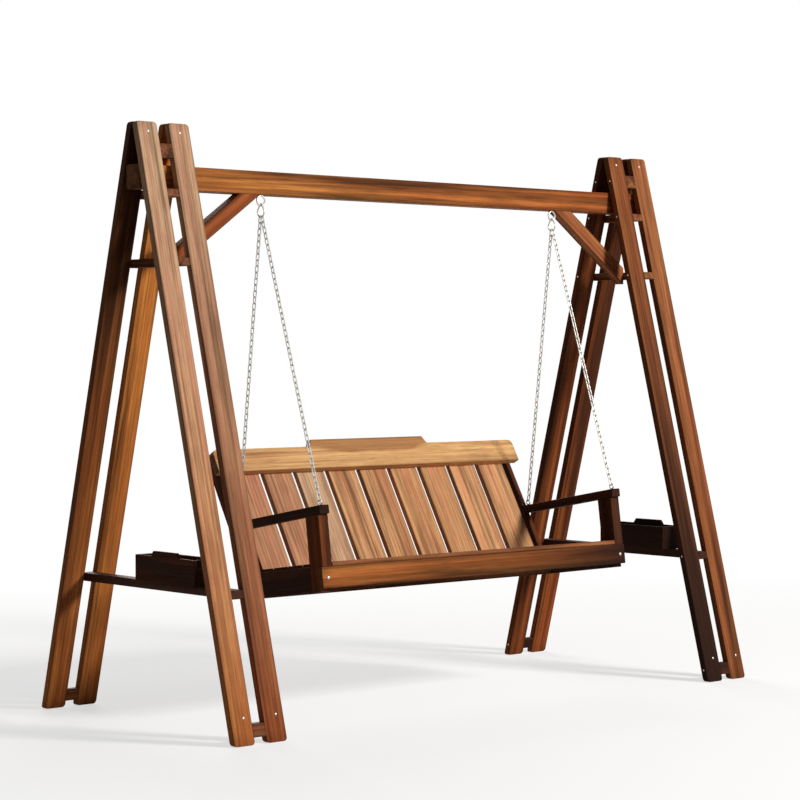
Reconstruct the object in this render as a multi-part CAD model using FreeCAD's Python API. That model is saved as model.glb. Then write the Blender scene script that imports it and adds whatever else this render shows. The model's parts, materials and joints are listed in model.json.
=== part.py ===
"""Free-standing A-frame garden swing bench, in millimetres.

X runs along the beam, -Y is the front, Z is up.
The origin is on the ground, under the middle of the beam.
"""
import FreeCAD
import Part
import math
import os

from FreeCAD import Vector

# Stand: two A-frames of paired boards
stand_height = 2000.0
stand_depth = 1104.0
frame_spacing = 2234.0
leg_width = 81.0
leg_thickness = 25.0
leg_gap = 49.0
leg_corner = 12.0
edge_ease = 2.0

# Stand: cross pieces, measured down from the leg tops or up from the ground
tie_height = 28.0
cap_height = 50.0
cap_gap = 21.0
beam_drop = 142.0
beam_height = 80.0
beam_inset = 4.0
hang_edge = 10.0
collar_drop = 450.0
shelf_tie_top = 478.0
foot_spacer_lift = 22.0
foot_spacer_height = 42.0

# Stand: knee braces between the beam and the collar ties
brace_width = 52.0
brace_depth = 42.0

# Side boxes that stand on the shelf ties
box_length = 330.0
box_width = 107.0
box_height = 88.0
box_wall = 12.0
box_middle_y = -106.0
box_crest_rise = 17.0
box_crest_length = 128.0
box_crest_shoulder = 12.0

# Seat frame, drawn level and then tilted back as it hangs
seat_width = 1458.0
seat_tilt = 8.0
seat_lead = 366.0
seat_front_z = 455.0
rail_thickness = 20.0
front_rail_height = 72.0
side_rail_height = 88.0
side_rail_drop = 12.0
side_thickness = 42.0
side_inset = 4.0
side_rail_tail = 40.0
post_depth = 68.0
joist_thickness = 25.0
joist_spacing = 480.0
seat_depth = 402.5
rear_rail_set_in = 34.0
seat_board_thickness = 16.0
seat_board_count = 5
seat_board_gap = 6.0

# Back rest
back_recline = 22.0
slat_count = 9
slat_gap = 20.0
slat_thickness = 20.0
slat_foot = -40.0
stile_width = 24.0
stile_depth = 50.0
crest_bottom = 368.0
crest_height = 90.0
crest_thickness = 30.0
crest_rise = 28.0
crest_rise_length = 570.0
crest_shoulder = 15.0
crest_corner = 20.0
crest_cover = 72.0
back_rail_bottom = -44.0
back_rail_height = 56.0
back_rail_thickness = 38.0

# Arms
arm_top = 278.0
arm_thickness = 30.0
arm_overhang = 10.0
arm_slope = 2.3

# Hanging gear
beam_eye_radius = 17.0
beam_eye_wire = 6.0
beam_eye_saddle = 6.2
beam_eye_shank = 6.0
swivel_wire = 5.0
swivel_bow = 18.0
swivel_length = 22.0
link_wire = 4.2
link_pitch = 21.0
link_inside = 7.0
link_end_angle = 60.0
arm_eye_radius = 9.0
arm_eye_wire = 5.0
arm_eye_shank = 6.0
arm_eye_depth = 24.0
arm_eye_lead = 9.0
arm_eye_rear = 14.0
nut_height = 6.0
washer_thickness = 2.0
washer_width = 10.0
thread_end = 3.0

# Clearances
beam_clearance = 1.3
brace_clearance = 1.5
wood_clearance = 1.0
hole_clearance = 0.3
pivot_clearance = 0.5
link_clearance = 0.4

# Tolerances for picking edges: sine of an angle, and a length
angle_tolerance = 0.04
length_tolerance = 0.01

# Facets of the bent wire
eye_facets = 12
bow_facets = 10
wire_sides = 6
link_sides = 4
rod_sides = 8

# Values that follow from the sizes above
half_depth = stand_depth / 2
leg_lean = (math.acos(leg_thickness / math.hypot(half_depth, stand_height))
            - math.atan2(stand_height, half_depth))
leg_slice = leg_thickness / math.cos(leg_lean)
frame_x = frame_spacing / 2
inner_leg_x = frame_x - leg_gap / 2 - leg_width
collar_face_x = frame_x - leg_gap / 2
beam_top = stand_height - beam_drop
beam_bottom = beam_top - beam_height
beam_half_length = frame_x + leg_gap / 2 + leg_width - beam_inset
collar_top = stand_height - collar_drop
beam_depth = 2 * (beam_drop * math.tan(leg_lean) - beam_clearance)
hang_y = hang_edge - beam_depth / 2
seat_front_y = hang_y - seat_lead

side_outer = seat_width / 2 - side_inset
side_inner = side_outer - side_thickness
side_middle = side_outer - side_thickness / 2
nut_seat_z = beam_top - hole_clearance - thread_end - nut_height - washer_thickness
pocket_radius = (washer_width / math.sqrt(2) + hole_clearance) / math.cos(math.pi / rod_sides)
seat_top = front_rail_height + seat_board_thickness
recline = math.radians(back_recline)
tilt = math.radians(seat_tilt)

beam_eye_z = beam_bottom - beam_eye_radius - beam_eye_wire / 2
hinge_z = beam_eye_z - beam_eye_radius
bow_top_radius = beam_eye_saddle / 2 + pivot_clearance + swivel_wire / 2
bow_middle_z = hinge_z - swivel_length


def prism_x(outline, x_from, x_to):
    """Outline of (y, z) points, carried along X."""
    points = [Vector(x_from, y, z) for y, z in outline]
    face = Part.Face(Part.makePolygon(points + points[:1]))
    return face.extrude(Vector(x_to - x_from, 0, 0))


def prism_y(outline, y_from, y_to):
    """Outline of (x, z) points, carried along Y."""
    points = [Vector(x, y_from, z) for x, z in outline]
    face = Part.Face(Part.makePolygon(points + points[:1]))
    return face.extrude(Vector(0, y_to - y_from, 0))


def block(x_from, x_to, y_from, y_to, z_from, z_to):
    """Square-edged block between two corners."""
    outline = [(y_from, z_from), (y_to, z_from), (y_to, z_to), (y_from, z_to)]
    return prism_x(outline, x_from, x_to)


def eased(board):
    """The board with its long edges planed off a little."""
    longest = max(board.Edges, key=lambda edge: edge.Length)
    along = longest.tangentAt(longest.FirstParameter)
    edges = []
    for edge in board.Edges:
        way = edge.tangentAt(edge.FirstParameter)
        if way.cross(along).Length < angle_tolerance:
            edges.append(edge)
    return board.makeChamfer(edge_ease, edges)


def rod(radius, start, end, sides=rod_sides):
    """Bar of equal sides between two points."""
    points = []
    for index in range(sides + 1):
        angle = 2 * math.pi * (index + 0.5) / sides
        points.append(Vector(radius * math.cos(angle), radius * math.sin(angle), 0))
    bar = Part.Face(Part.makePolygon(points)).extrude(Vector(0, 0, (end - start).Length))
    bar.Placement = FreeCAD.Placement(start, FreeCAD.Rotation(Vector(0, 0, 1), end - start))
    return bar


def bent_wire(corners, normal, radius, sides):
    """Closed wire of straight runs with mitred corners, all in one plane."""
    count = len(corners)
    rings = []
    for index in range(count):
        here = corners[index]
        before = (here - corners[index - 1]).normalize()
        after = (corners[(index + 1) % count] - here).normalize()
        across = (before - after).normalize()
        mitre = math.sqrt((1 + before.dot(after)) / 2)
        ring = []
        for side in range(sides):
            angle = 2 * math.pi * side / sides
            out = across * (radius * math.cos(angle) / mitre)
            ring.append(here + out + normal * (radius * math.sin(angle)))
        rings.append(ring)
    faces = []
    for index in range(count):
        ring = rings[index]
        following = rings[(index + 1) % count]
        for side in range(sides):
            other = (side + 1) % sides
            quad = [ring[side], following[side], following[other], ring[other]]
            faces.append(Part.Face(Part.makePolygon(quad + quad[:1])))
    solid = Part.Solid(Part.Shell(faces))
    if solid.Volume < 0:
        solid.reverse()
    return solid


def round_path(centre, radius, facets):
    """Corners of a round ring that stands in the X-Z plane."""
    points = []
    for index in range(facets):
        angle = 2 * math.pi * (index + 0.5) / facets
        points.append(centre + Vector(radius * math.cos(angle), 0, radius * math.sin(angle)))
    return points


# Stand

def leg_back_y(z):
    """Distance from the middle plane to the inner face of a leg board."""
    return (stand_height - z) * math.tan(leg_lean)


def leg_front_y(z):
    """Distance from the middle plane to the outer face of a leg board."""
    return leg_back_y(z) + leg_slice


def leg(x_from, way):
    """One leaning board; way is -1 at the front and 1 at the rear."""
    outline = [(way * leg_front_y(0), 0), (way * leg_back_y(0), 0),
               (way * leg_back_y(stand_height), stand_height),
               (way * leg_front_y(stand_height), stand_height)]
    board = prism_x(outline, x_from, x_from + leg_width)
    corners = []
    for edge in board.Edges:
        box = edge.BoundBox
        if box.XLength < length_tolerance and box.ZLength < length_tolerance:
            corners.append(edge)
    return board.makeFillet(leg_corner, corners)


def tie(side, z_bottom, height):
    """Bar in the gap of one A-frame, from front to rear, ends flush with the boards."""
    z_top = z_bottom + height
    outline = [(-leg_front_y(z_bottom), z_bottom), (leg_front_y(z_bottom), z_bottom),
               (leg_front_y(z_top), z_top), (-leg_front_y(z_top), z_top)]
    middle = side * frame_x
    return prism_x(outline, middle - leg_gap / 2, middle + leg_gap / 2)


def foot_spacers(side):
    """Two short blocks that hold the paired boards apart near the ground."""
    z_bottom = foot_spacer_lift
    z_top = z_bottom + foot_spacer_height
    middle = side * frame_x
    blocks = []
    for way in (-1, 1):
        outline = [(way * leg_front_y(z_bottom), z_bottom), (way * leg_back_y(z_bottom), z_bottom),
                   (way * leg_back_y(z_top), z_top), (way * leg_front_y(z_top), z_top)]
        blocks.append(prism_x(outline, middle - leg_gap / 2, middle + leg_gap / 2))
    return Part.makeCompound(blocks)


def beam():
    """Square beam that lies on the beam ties, bored for the two eye bolts and their sunk nuts."""
    half = beam_depth / 2
    bar = eased(block(-beam_half_length, beam_half_length, -half, half, beam_bottom, beam_top))
    for side in (-1, 1):
        foot = Vector(side * side_middle, hang_y, beam_bottom)
        hole = rod(beam_eye_shank / 2 + hole_clearance, foot, foot + Vector(0, 0, beam_height))
        seat = Vector(foot.x, foot.y, nut_seat_z)
        pocket = rod(pocket_radius, seat, seat + Vector(0, 0, beam_height))
        bar = bar.cut(hole).cut(pocket)
    return bar


def knee_brace(side):
    """Slanting bar from the collar tie's inner face to the beam, just clear of the eye bolt's ring."""
    middle = collar_top - tie_height / 2
    run = collar_face_x - side_middle
    rise = beam_eye_z - middle
    clear = beam_eye_radius + beam_eye_wire / 2 + brace_clearance + brace_width / 2
    angle = math.atan2(rise, run) + math.asin(clear / math.hypot(run, rise))
    half = brace_width / 2 / math.cos(angle)
    outline = []
    for offset in (-half, half):
        reach = (beam_bottom - middle - offset) / math.tan(angle)
        outline.append((side * (collar_face_x - reach), beam_bottom))
    for offset in (half, -half):
        outline.append((side * collar_face_x, middle + offset))
    front = -beam_depth / 2
    return eased(prism_y(outline, front, front + brace_depth))


# Side boxes

def crested(length, height, rise, crest, shoulder):
    """Outline of a board whose middle stands up between sloping shoulders."""
    half = length / 2
    return [(-half, 0), (half, 0), (half, height), (crest / 2 + shoulder, height),
            (crest / 2, height + rise), (-crest / 2, height + rise),
            (-crest / 2 - shoulder, height), (-half, height)]


def box_panels(side):
    """Outer side, inner side, bottom and the two ends of one box."""
    outer = side * (frame_x + box_width / 2)
    inner = side * (frame_x - box_width / 2)
    outline = [(box_middle_y + y, shelf_tie_top + z) for y, z in crested(
        box_length, box_height, box_crest_rise, box_crest_length, box_crest_shoulder)]
    outer_side = prism_x(outline, outer, outer - side * box_wall)
    y_from = box_middle_y - box_length / 2
    y_to = y_from + box_length
    z_to = shelf_tie_top + box_height
    inner_side = block(inner, inner + side * box_wall, y_from, y_to, shelf_tie_top, z_to)
    x_from = inner + side * box_wall
    x_to = outer - side * box_wall
    z_floor = shelf_tie_top + box_wall
    bottom = block(x_from, x_to, y_from, y_to, shelf_tie_top, z_floor)
    front = block(x_from, x_to, y_from, y_from + box_wall, z_floor, z_to)
    rear = block(x_from, x_to, y_to - box_wall, y_to, z_floor, z_to)
    return outer_side, inner_side, bottom, Part.makeCompound([front, rear])


# Seat, in its own level frame: y back from the front rail's face, z up from its lower edge

def hung(shape):
    """A seat piece, tilted back and carried to where the seat hangs."""
    turned = shape.copy()
    turn = FreeCAD.Rotation(Vector(1, 0, 0), -seat_tilt)
    place = FreeCAD.Placement(Vector(0, seat_front_y, seat_front_z), turn)
    turned.Placement = place.multiply(shape.Placement)
    return turned


def hung_point(point):
    """Where a point of the level seat frame hangs."""
    turn = FreeCAD.Rotation(Vector(1, 0, 0), -seat_tilt)
    return turn.multVec(point) + Vector(0, seat_front_y, seat_front_z)


def arm_top_z(y):
    """Height of an arm's upper face in the level seat frame."""
    return arm_top - (y + arm_overhang) * math.tan(math.radians(arm_slope))


def back_point(along, out):
    """Place in the level frame: up the back from the seat's top, and out from the slats' front."""
    y = seat_depth + along * math.sin(recline) - out * math.cos(recline)
    z = seat_top + along * math.cos(recline) + out * math.sin(recline)
    return y, z


def back_slab(x_from, x_to, along_from, along_to, out_from, out_to):
    """Board that lies in the plane of the back."""
    outline = [back_point(along_from, out_from), back_point(along_from, out_to),
               back_point(along_to, out_to), back_point(along_to, out_from)]
    return prism_x(outline, x_from, x_to)


rail_bottom = -side_rail_drop
side_rail_top = rail_bottom + side_rail_height
rear_rail_back = seat_depth - rear_rail_set_in
crest_top = crest_bottom + crest_height
slat_top = crest_bottom + crest_cover


def front_rail():
    """Board along the front edge of the seat, over the posts' feet."""
    half = seat_width / 2
    return eased(block(-half, half, 0, rail_thickness, 0, front_rail_height))


def rear_rail():
    """Board between the side rails, under the rear seat boards."""
    return block(-side_inner, side_inner, rear_rail_back - rail_thickness, rear_rail_back,
                 rail_bottom, front_rail_height)


def side_rail(side):
    """Deep board from the post to behind the stile that stands on it."""
    end = seat_depth + side_rail_tail
    return eased(block(side * side_inner, side * side_outer, post_depth, end,
                       rail_bottom, side_rail_top))


def joists():
    """Two bars from the front rail to the rear rail, under the seat boards."""
    bars = []
    for side in (-1, 1):
        middle = side * joist_spacing / 2
        bars.append(block(middle - joist_thickness / 2, middle + joist_thickness / 2,
                          rail_thickness, rear_rail_back - rail_thickness, 0, front_rail_height))
    return Part.makeCompound(bars)


def seat_boards():
    """Boards along X on the rails, ending clear of the back."""
    last = back_point((front_rail_height - seat_top) / math.cos(recline), 0)[0] - wood_clearance
    width = (last - (seat_board_count - 1) * seat_board_gap) / seat_board_count
    half = side_inner - wood_clearance
    boards = []
    for index in range(seat_board_count):
        start = index * (width + seat_board_gap)
        boards.append(eased(block(-half, half, start, start + width, front_rail_height, seat_top)))
    return boards


def front_post(side):
    """Post under the arm, flush with the front rail's face and notched for the rail."""
    outline = [(rail_thickness, rail_bottom), (post_depth, rail_bottom),
               (post_depth, arm_top_z(post_depth) - arm_under), (0, arm_top_z(0) - arm_under),
               (0, front_rail_height), (rail_thickness, front_rail_height)]
    return prism_x(outline, side * side_inner, side * side_outer)


arm_under = arm_thickness / math.cos(math.radians(arm_slope))
arm_normal = Vector(0, math.sin(math.radians(arm_slope)), math.cos(math.radians(arm_slope)))
arm_front = -arm_overhang
arm_fall = math.tan(math.radians(arm_slope))
back_rise = math.tan(recline)
arm_back_top = ((seat_depth + (arm_top - arm_overhang * arm_fall - seat_top) * back_rise)
                / (1 + arm_fall * back_rise))
arm_back_under = arm_back_top - arm_under * back_rise / (1 + arm_fall * back_rise)
eye_front_y = arm_eye_lead
eye_rear_y = arm_back_top - arm_eye_rear


def arm(side):
    """Sloping bar on the post and against the stile, bored for its two screw eyes."""
    outline = [(arm_front, arm_top_z(arm_front) - arm_under),
               (arm_back_under, arm_top_z(arm_back_under) - arm_under),
               (arm_back_top, arm_top_z(arm_back_top)), (arm_front, arm_top_z(arm_front))]
    bar = eased(prism_x(outline, side * side_inner, side * side_outer))
    for y in (eye_front_y, eye_rear_y):
        top = Vector(side * side_middle, y, arm_top_z(y))
        bottom = top - arm_normal * (arm_eye_depth + hole_clearance)
        hole = rod(arm_eye_shank / 2 + hole_clearance, top + arm_normal, bottom)
        bar = bar.cut(hole)
    return bar


def stile(side):
    """Leaning upright that stands on the side rail, flush with its inner face."""
    front_foot = (side_rail_top - seat_top) / math.cos(recline)
    rear_foot = front_foot + stile_depth * math.tan(recline)
    outline = [back_point(front_foot, 0), back_point(slat_top, 0),
               back_point(slat_top, -stile_depth), back_point(rear_foot, -stile_depth)]
    return eased(prism_x(outline, side * side_inner, side * (side_inner + stile_width)))


def back_slats():
    """Upright boards spaced evenly between the stiles."""
    room = 2 * side_inner
    width = (room - (slat_count + 1) * slat_gap) / slat_count
    slats = []
    for index in range(slat_count):
        start = -side_inner + slat_gap + index * (width + slat_gap)
        slats.append(back_slab(start, start + width, slat_foot, slat_top, -slat_thickness, 0))
    return Part.makeCompound([eased(slat) for slat in slats])


def back_rail():
    """Rail between the stiles that the slats' feet are screwed to."""
    top = back_rail_bottom + back_rail_height
    return back_slab(-side_inner, side_inner, back_rail_bottom, top,
                     -slat_thickness - back_rail_thickness, -slat_thickness)


def rounded_ends(outline):
    """The outline with the upper corner at each end cut to a round of two facets."""
    half = seat_width / 2
    middle_x = half - crest_corner
    middle_z = crest_height - crest_corner
    turn = crest_corner * math.sqrt(0.5)
    corners = []
    for x, z in outline:
        if z != crest_height or abs(x) != half:
            corners.append((x, z))
            continue
        way = math.copysign(1, x)
        round_points = [(x, middle_z), (way * (middle_x + turn), middle_z + turn), (way * middle_x, z)]
        corners.extend(round_points if x > 0 else round_points[::-1])
    return corners


def crest_rail():
    """Top rail in front of the slats, raised in the middle."""
    outline = rounded_ends(crested(seat_width, crest_height, crest_rise,
                                   crest_rise_length - 2 * crest_shoulder, crest_shoulder))
    board = eased(prism_y([(x, z + crest_bottom) for x, z in outline], -crest_thickness, 0))
    place = Vector(0, seat_depth, seat_top)
    board.Placement = FreeCAD.Placement(place, FreeCAD.Rotation(Vector(1, 0, 0), -back_recline))
    return board


# Hanging gear

def beam_eye(side):
    """Eye bolt: a ring under the beam, round where the swivel bears, and a shank up through it."""
    middle = Vector(side * side_middle, hang_y, beam_eye_z)
    flat = math.pi / eye_facets
    path = round_path(middle, beam_eye_radius / math.cos(flat), eye_facets)
    ring = bent_wire(path, Vector(0, 1, 0), beam_eye_wire / 2, wire_sides)
    foot = middle + Vector(0, 0, beam_eye_radius)
    top = Vector(middle.x, hang_y, beam_top - hole_clearance)
    bearing = Vector(swivel_wire + 2 * pivot_clearance, 0, 0)
    start = middle - Vector(0, 0, beam_eye_radius) - bearing / 2
    saddle = Part.makeCylinder(beam_eye_saddle / 2, bearing.Length, start, bearing)
    return ring.fuse([saddle, rod(beam_eye_shank / 2, foot, top)]).removeSplitter()


def beam_washer(side):
    """Square plate under the nut of an eye bolt."""
    foot = Vector(side * side_middle, hang_y, nut_seat_z)
    plate = rod(washer_width / math.sqrt(2), foot, foot + Vector(0, 0, washer_thickness), 4)
    return plate.cut(rod(beam_eye_shank / 2 + hole_clearance, foot, foot + Vector(0, 0, beam_height)))


def beam_nut(side):
    """Hexagon nut on an eye bolt, sunk in the beam."""
    foot = Vector(side * side_middle, hang_y, nut_seat_z + washer_thickness)
    nut = rod(beam_eye_shank, foot, foot + Vector(0, 0, nut_height), 6)
    return nut.cut(rod(beam_eye_shank / 2 + hole_clearance, foot, foot + Vector(0, 0, beam_height)))


def swivel_ring(side):
    """Pear-shaped ring: a small bow round the eye's wire, a wide bow below for the chains."""
    taper = math.asin((swivel_bow - bow_top_radius) / swivel_length)
    corners = []
    for index in range(bow_facets + 1):
        angle = -math.pi / 2 - taper + index * (math.pi + 2 * taper) / bow_facets
        corners.append(Vector(side * side_middle, hang_y + swivel_bow * math.sin(angle),
                              bow_middle_z - swivel_bow * math.cos(angle)))
    upper_facets = bow_facets // 2
    for index in range(upper_facets + 1):
        angle = math.pi / 2 - taper - index * (math.pi - 2 * taper) / upper_facets
        corners.append(Vector(side * side_middle, hang_y + bow_top_radius * math.sin(angle),
                              hinge_z + bow_top_radius * math.cos(angle)))
    return bent_wire(corners, Vector(1, 0, 0), swivel_wire / 2, wire_sides)


def arm_eye_foot(side, y):
    """Where an eye stands on the arm's upper face, in the level frame."""
    return Vector(side * side_middle, y, arm_top_z(y))


def arm_eye_middle(side, y):
    """Middle of an arm eye's ring, in the level frame."""
    return arm_eye_foot(side, y) + arm_normal * (arm_eye_radius + arm_eye_wire / 2)


def arm_eye(side, y):
    """Screw eye: a ring on the arm and a shank down into it."""
    foot = arm_eye_foot(side, y)
    ring = bent_wire(round_path(Vector(0, 0, 0), arm_eye_radius, eye_facets), Vector(0, 1, 0),
                     arm_eye_wire / 2, wire_sides)
    ring.rotate(Vector(0, 0, 0), Vector(0, 0, 1), 90)
    ring.rotate(Vector(0, 0, 0), Vector(1, 0, 0), -arm_slope)
    ring.translate(arm_eye_middle(side, y))
    top = foot + arm_normal * arm_eye_wire / 2
    tip = foot - arm_normal * arm_eye_depth
    return ring.fuse(rod(arm_eye_shank / 2, tip, top)).removeSplitter()


def chain_link(inner_length):
    """One link along Z in the X-Z plane: straight sides and blunt pointed ends."""
    wire = link_wire / 2
    point = math.radians(link_end_angle)
    half_width = link_inside / 2 + wire
    end = inner_length / 2 + wire / math.sin(point)
    shoulder = end - half_width / math.tan(point)
    corners = [(0, end), (half_width, shoulder), (half_width, -shoulder),
               (0, -end), (-half_width, -shoulder), (-half_width, shoulder)]
    return bent_wire([Vector(x, 0, z) for x, z in corners], Vector(0, 1, 0), wire, link_sides)


def chain(side, eye_y):
    """Taut chain from the swivel ring's wide bow to one arm eye, each link turned on the last."""
    top = Vector(side * side_middle, hang_y, bow_middle_z)
    foot = hung_point(arm_eye_middle(side, eye_y))
    run = foot - top
    seat = 1 / math.sin(math.radians(link_end_angle))
    start = swivel_bow - swivel_wire / 2 * seat - link_clearance
    finish = arm_eye_radius - arm_eye_wire / 2 * seat - link_clearance
    taut = run.Length - start - finish - link_clearance
    count = 2 * round((taut / link_pitch - 1) / 2) + 1
    pitch = taut / count
    link = chain_link(pitch + link_clearance)
    down = FreeCAD.Rotation(Vector(0, 0, 1), run)
    along = Vector(run).normalize()
    links = []
    for index in range(count):
        middle = top + along * (start + link_clearance / 2 + (index + 0.5) * pitch)
        quarter = FreeCAD.Rotation(Vector(0, 0, 1), 90 * (index % 2))
        piece = link.copy()
        piece.Placement = FreeCAD.Placement(middle, down.multiply(quarter))
        links.append(piece)
    print("chain of", count, "links at a pitch of", round(pitch, 3))
    return Part.makeCompound(links)


# All pieces by name

pieces = {}
for name, side in (("left", -1), ("right", 1)):
    for place, x_from in (("inner", inner_leg_x), ("outer", frame_x + leg_gap / 2)):
        start = min(side * x_from, side * (x_from + leg_width))
        pieces[name + "_" + place + "_front_leg"] = leg(start, -1)
        pieces[name + "_" + place + "_rear_leg"] = leg(start, 1)
    pieces[name + "_cap_block"] = tie(side, beam_top + cap_gap, cap_height)
    pieces[name + "_beam_tie"] = tie(side, beam_bottom - tie_height, tie_height)
    pieces[name + "_collar_tie"] = tie(side, collar_top - tie_height, tie_height)
    pieces[name + "_shelf_tie"] = tie(side, shelf_tie_top - tie_height, tie_height)
    pieces[name + "_foot_spacers"] = foot_spacers(side)
    pieces[name + "_knee_brace"] = knee_brace(side)
    outer_side, inner_side, bottom, ends = box_panels(side)
    pieces[name + "_box_outer_side"] = outer_side
    pieces[name + "_box_inner_side"] = inner_side
    pieces[name + "_box_bottom"] = bottom
    pieces[name + "_box_ends"] = ends
    pieces[name + "_side_rail"] = hung(side_rail(side))
    pieces[name + "_front_post"] = hung(front_post(side))
    pieces[name + "_arm"] = hung(arm(side))
    pieces[name + "_back_stile"] = hung(stile(side))
    pieces[name + "_beam_eye_bolt"] = beam_eye(side)
    pieces[name + "_swivel_ring"] = swivel_ring(side)
    pieces[name + "_front_chain"] = chain(side, eye_front_y)
    pieces[name + "_rear_chain"] = chain(side, eye_rear_y)
pieces["beam"] = beam()
pieces["beam_washers"] = Part.makeCompound([beam_washer(-1), beam_washer(1)])
pieces["beam_nuts"] = Part.makeCompound([beam_nut(-1), beam_nut(1)])
pieces["seat_front_rail"] = hung(front_rail())
pieces["seat_rear_rail"] = hung(rear_rail())
pieces["seat_joists"] = hung(joists())
for index, board in enumerate(seat_boards()):
    pieces["seat_board_" + str(index + 1)] = hung(board)
pieces["back_slats"] = hung(back_slats())
pieces["back_lower_rail"] = hung(back_rail())
pieces["crest_rail"] = hung(crest_rail())
eye_places = [(side, y) for side in (-1, 1) for y in (eye_front_y, eye_rear_y)]
pieces["arm_eyes"] = Part.makeCompound([hung(arm_eye(side, y)) for side, y in eye_places])

os.makedirs("parts", exist_ok=True)
for name, shape in pieces.items():
    shape.exportStep("parts/" + name + ".step")
print("hinge line at y", round(hang_y, 4), "z", round(hinge_z, 4))
print(len(pieces), "nodes,", sum(len(shape.Solids) for shape in pieces.values()), "solids")
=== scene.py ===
# %% [markdown]
# # A garden swing bench of scorched boards
# Two frames of paired boards carry a beam, and a slatted bench hangs from the beam on four chains.
# The imported model gives every piece its place, so this lesson only dresses it: the boards get
# rounded arrises and grain, the hanging gear becomes smooth wire, and the screws are added.
# The dressed bench must not outgrow it.

# %% Load the imported model
import json
import math
import random
import bmesh
import bpy
import numpy as np
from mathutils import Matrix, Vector
from mathutils.bvhtree import BVHTree


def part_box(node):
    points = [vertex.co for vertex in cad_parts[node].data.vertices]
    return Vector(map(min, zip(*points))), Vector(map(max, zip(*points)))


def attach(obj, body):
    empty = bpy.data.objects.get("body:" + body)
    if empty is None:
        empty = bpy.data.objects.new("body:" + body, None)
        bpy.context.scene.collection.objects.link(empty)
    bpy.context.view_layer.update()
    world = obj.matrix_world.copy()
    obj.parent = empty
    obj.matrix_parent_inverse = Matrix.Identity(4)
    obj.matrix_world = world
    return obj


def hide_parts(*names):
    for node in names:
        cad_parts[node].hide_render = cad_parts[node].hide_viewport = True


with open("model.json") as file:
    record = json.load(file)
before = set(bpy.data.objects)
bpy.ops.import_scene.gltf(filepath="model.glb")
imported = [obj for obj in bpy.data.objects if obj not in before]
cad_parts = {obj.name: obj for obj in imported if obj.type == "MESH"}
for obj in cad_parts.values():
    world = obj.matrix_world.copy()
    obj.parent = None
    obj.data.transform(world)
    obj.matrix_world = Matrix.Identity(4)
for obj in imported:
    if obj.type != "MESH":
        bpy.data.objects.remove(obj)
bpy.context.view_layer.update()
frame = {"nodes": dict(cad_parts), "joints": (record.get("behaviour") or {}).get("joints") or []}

scene = bpy.context.scene
scene.view_settings.view_transform = "Standard"

# %% [markdown]
# ## The camera
# The photograph was taken from about nine metres away with a long lens, a little above the seat.
# We could aim the camera with a constraint, but the picture has no roll and no shift, so a place,
# a turn and a tilt say everything. The lens follows from the picture's width in pixels.

# %% Camera
quarter = math.pi / 2
picture_width = 800
focal_pixels = 2399
sensor_width = 36
camera_place = (-5.797, -6.511, 1.246)
camera_turn = math.radians(41.46)
camera_tilt = math.radians(-1.19)
farthest_view = 300
camera_data = bpy.data.cameras.new("photo_camera")
camera_data.sensor_width = sensor_width
camera_data.lens = sensor_width * focal_pixels / picture_width
camera_data.clip_end = farthest_view
camera = bpy.data.objects.new("photo_camera", camera_data)
camera.location = camera_place
camera.rotation_euler = (quarter + camera_tilt, 0, -camera_turn)
scene.collection.objects.link(camera)
scene.camera = camera
print("camera lens", round(camera_data.lens, 1), "mm")

# %% [markdown]
# ## Shader sums as Python
# A finish is a chain of small sums, and drawing each Math node by hand hides what the sum means.
# This class wraps a socket, so that an expression such as 1 - edge adds its own nodes.
# Any other node comes from one method: its type, its settings first, then its sockets.

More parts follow.
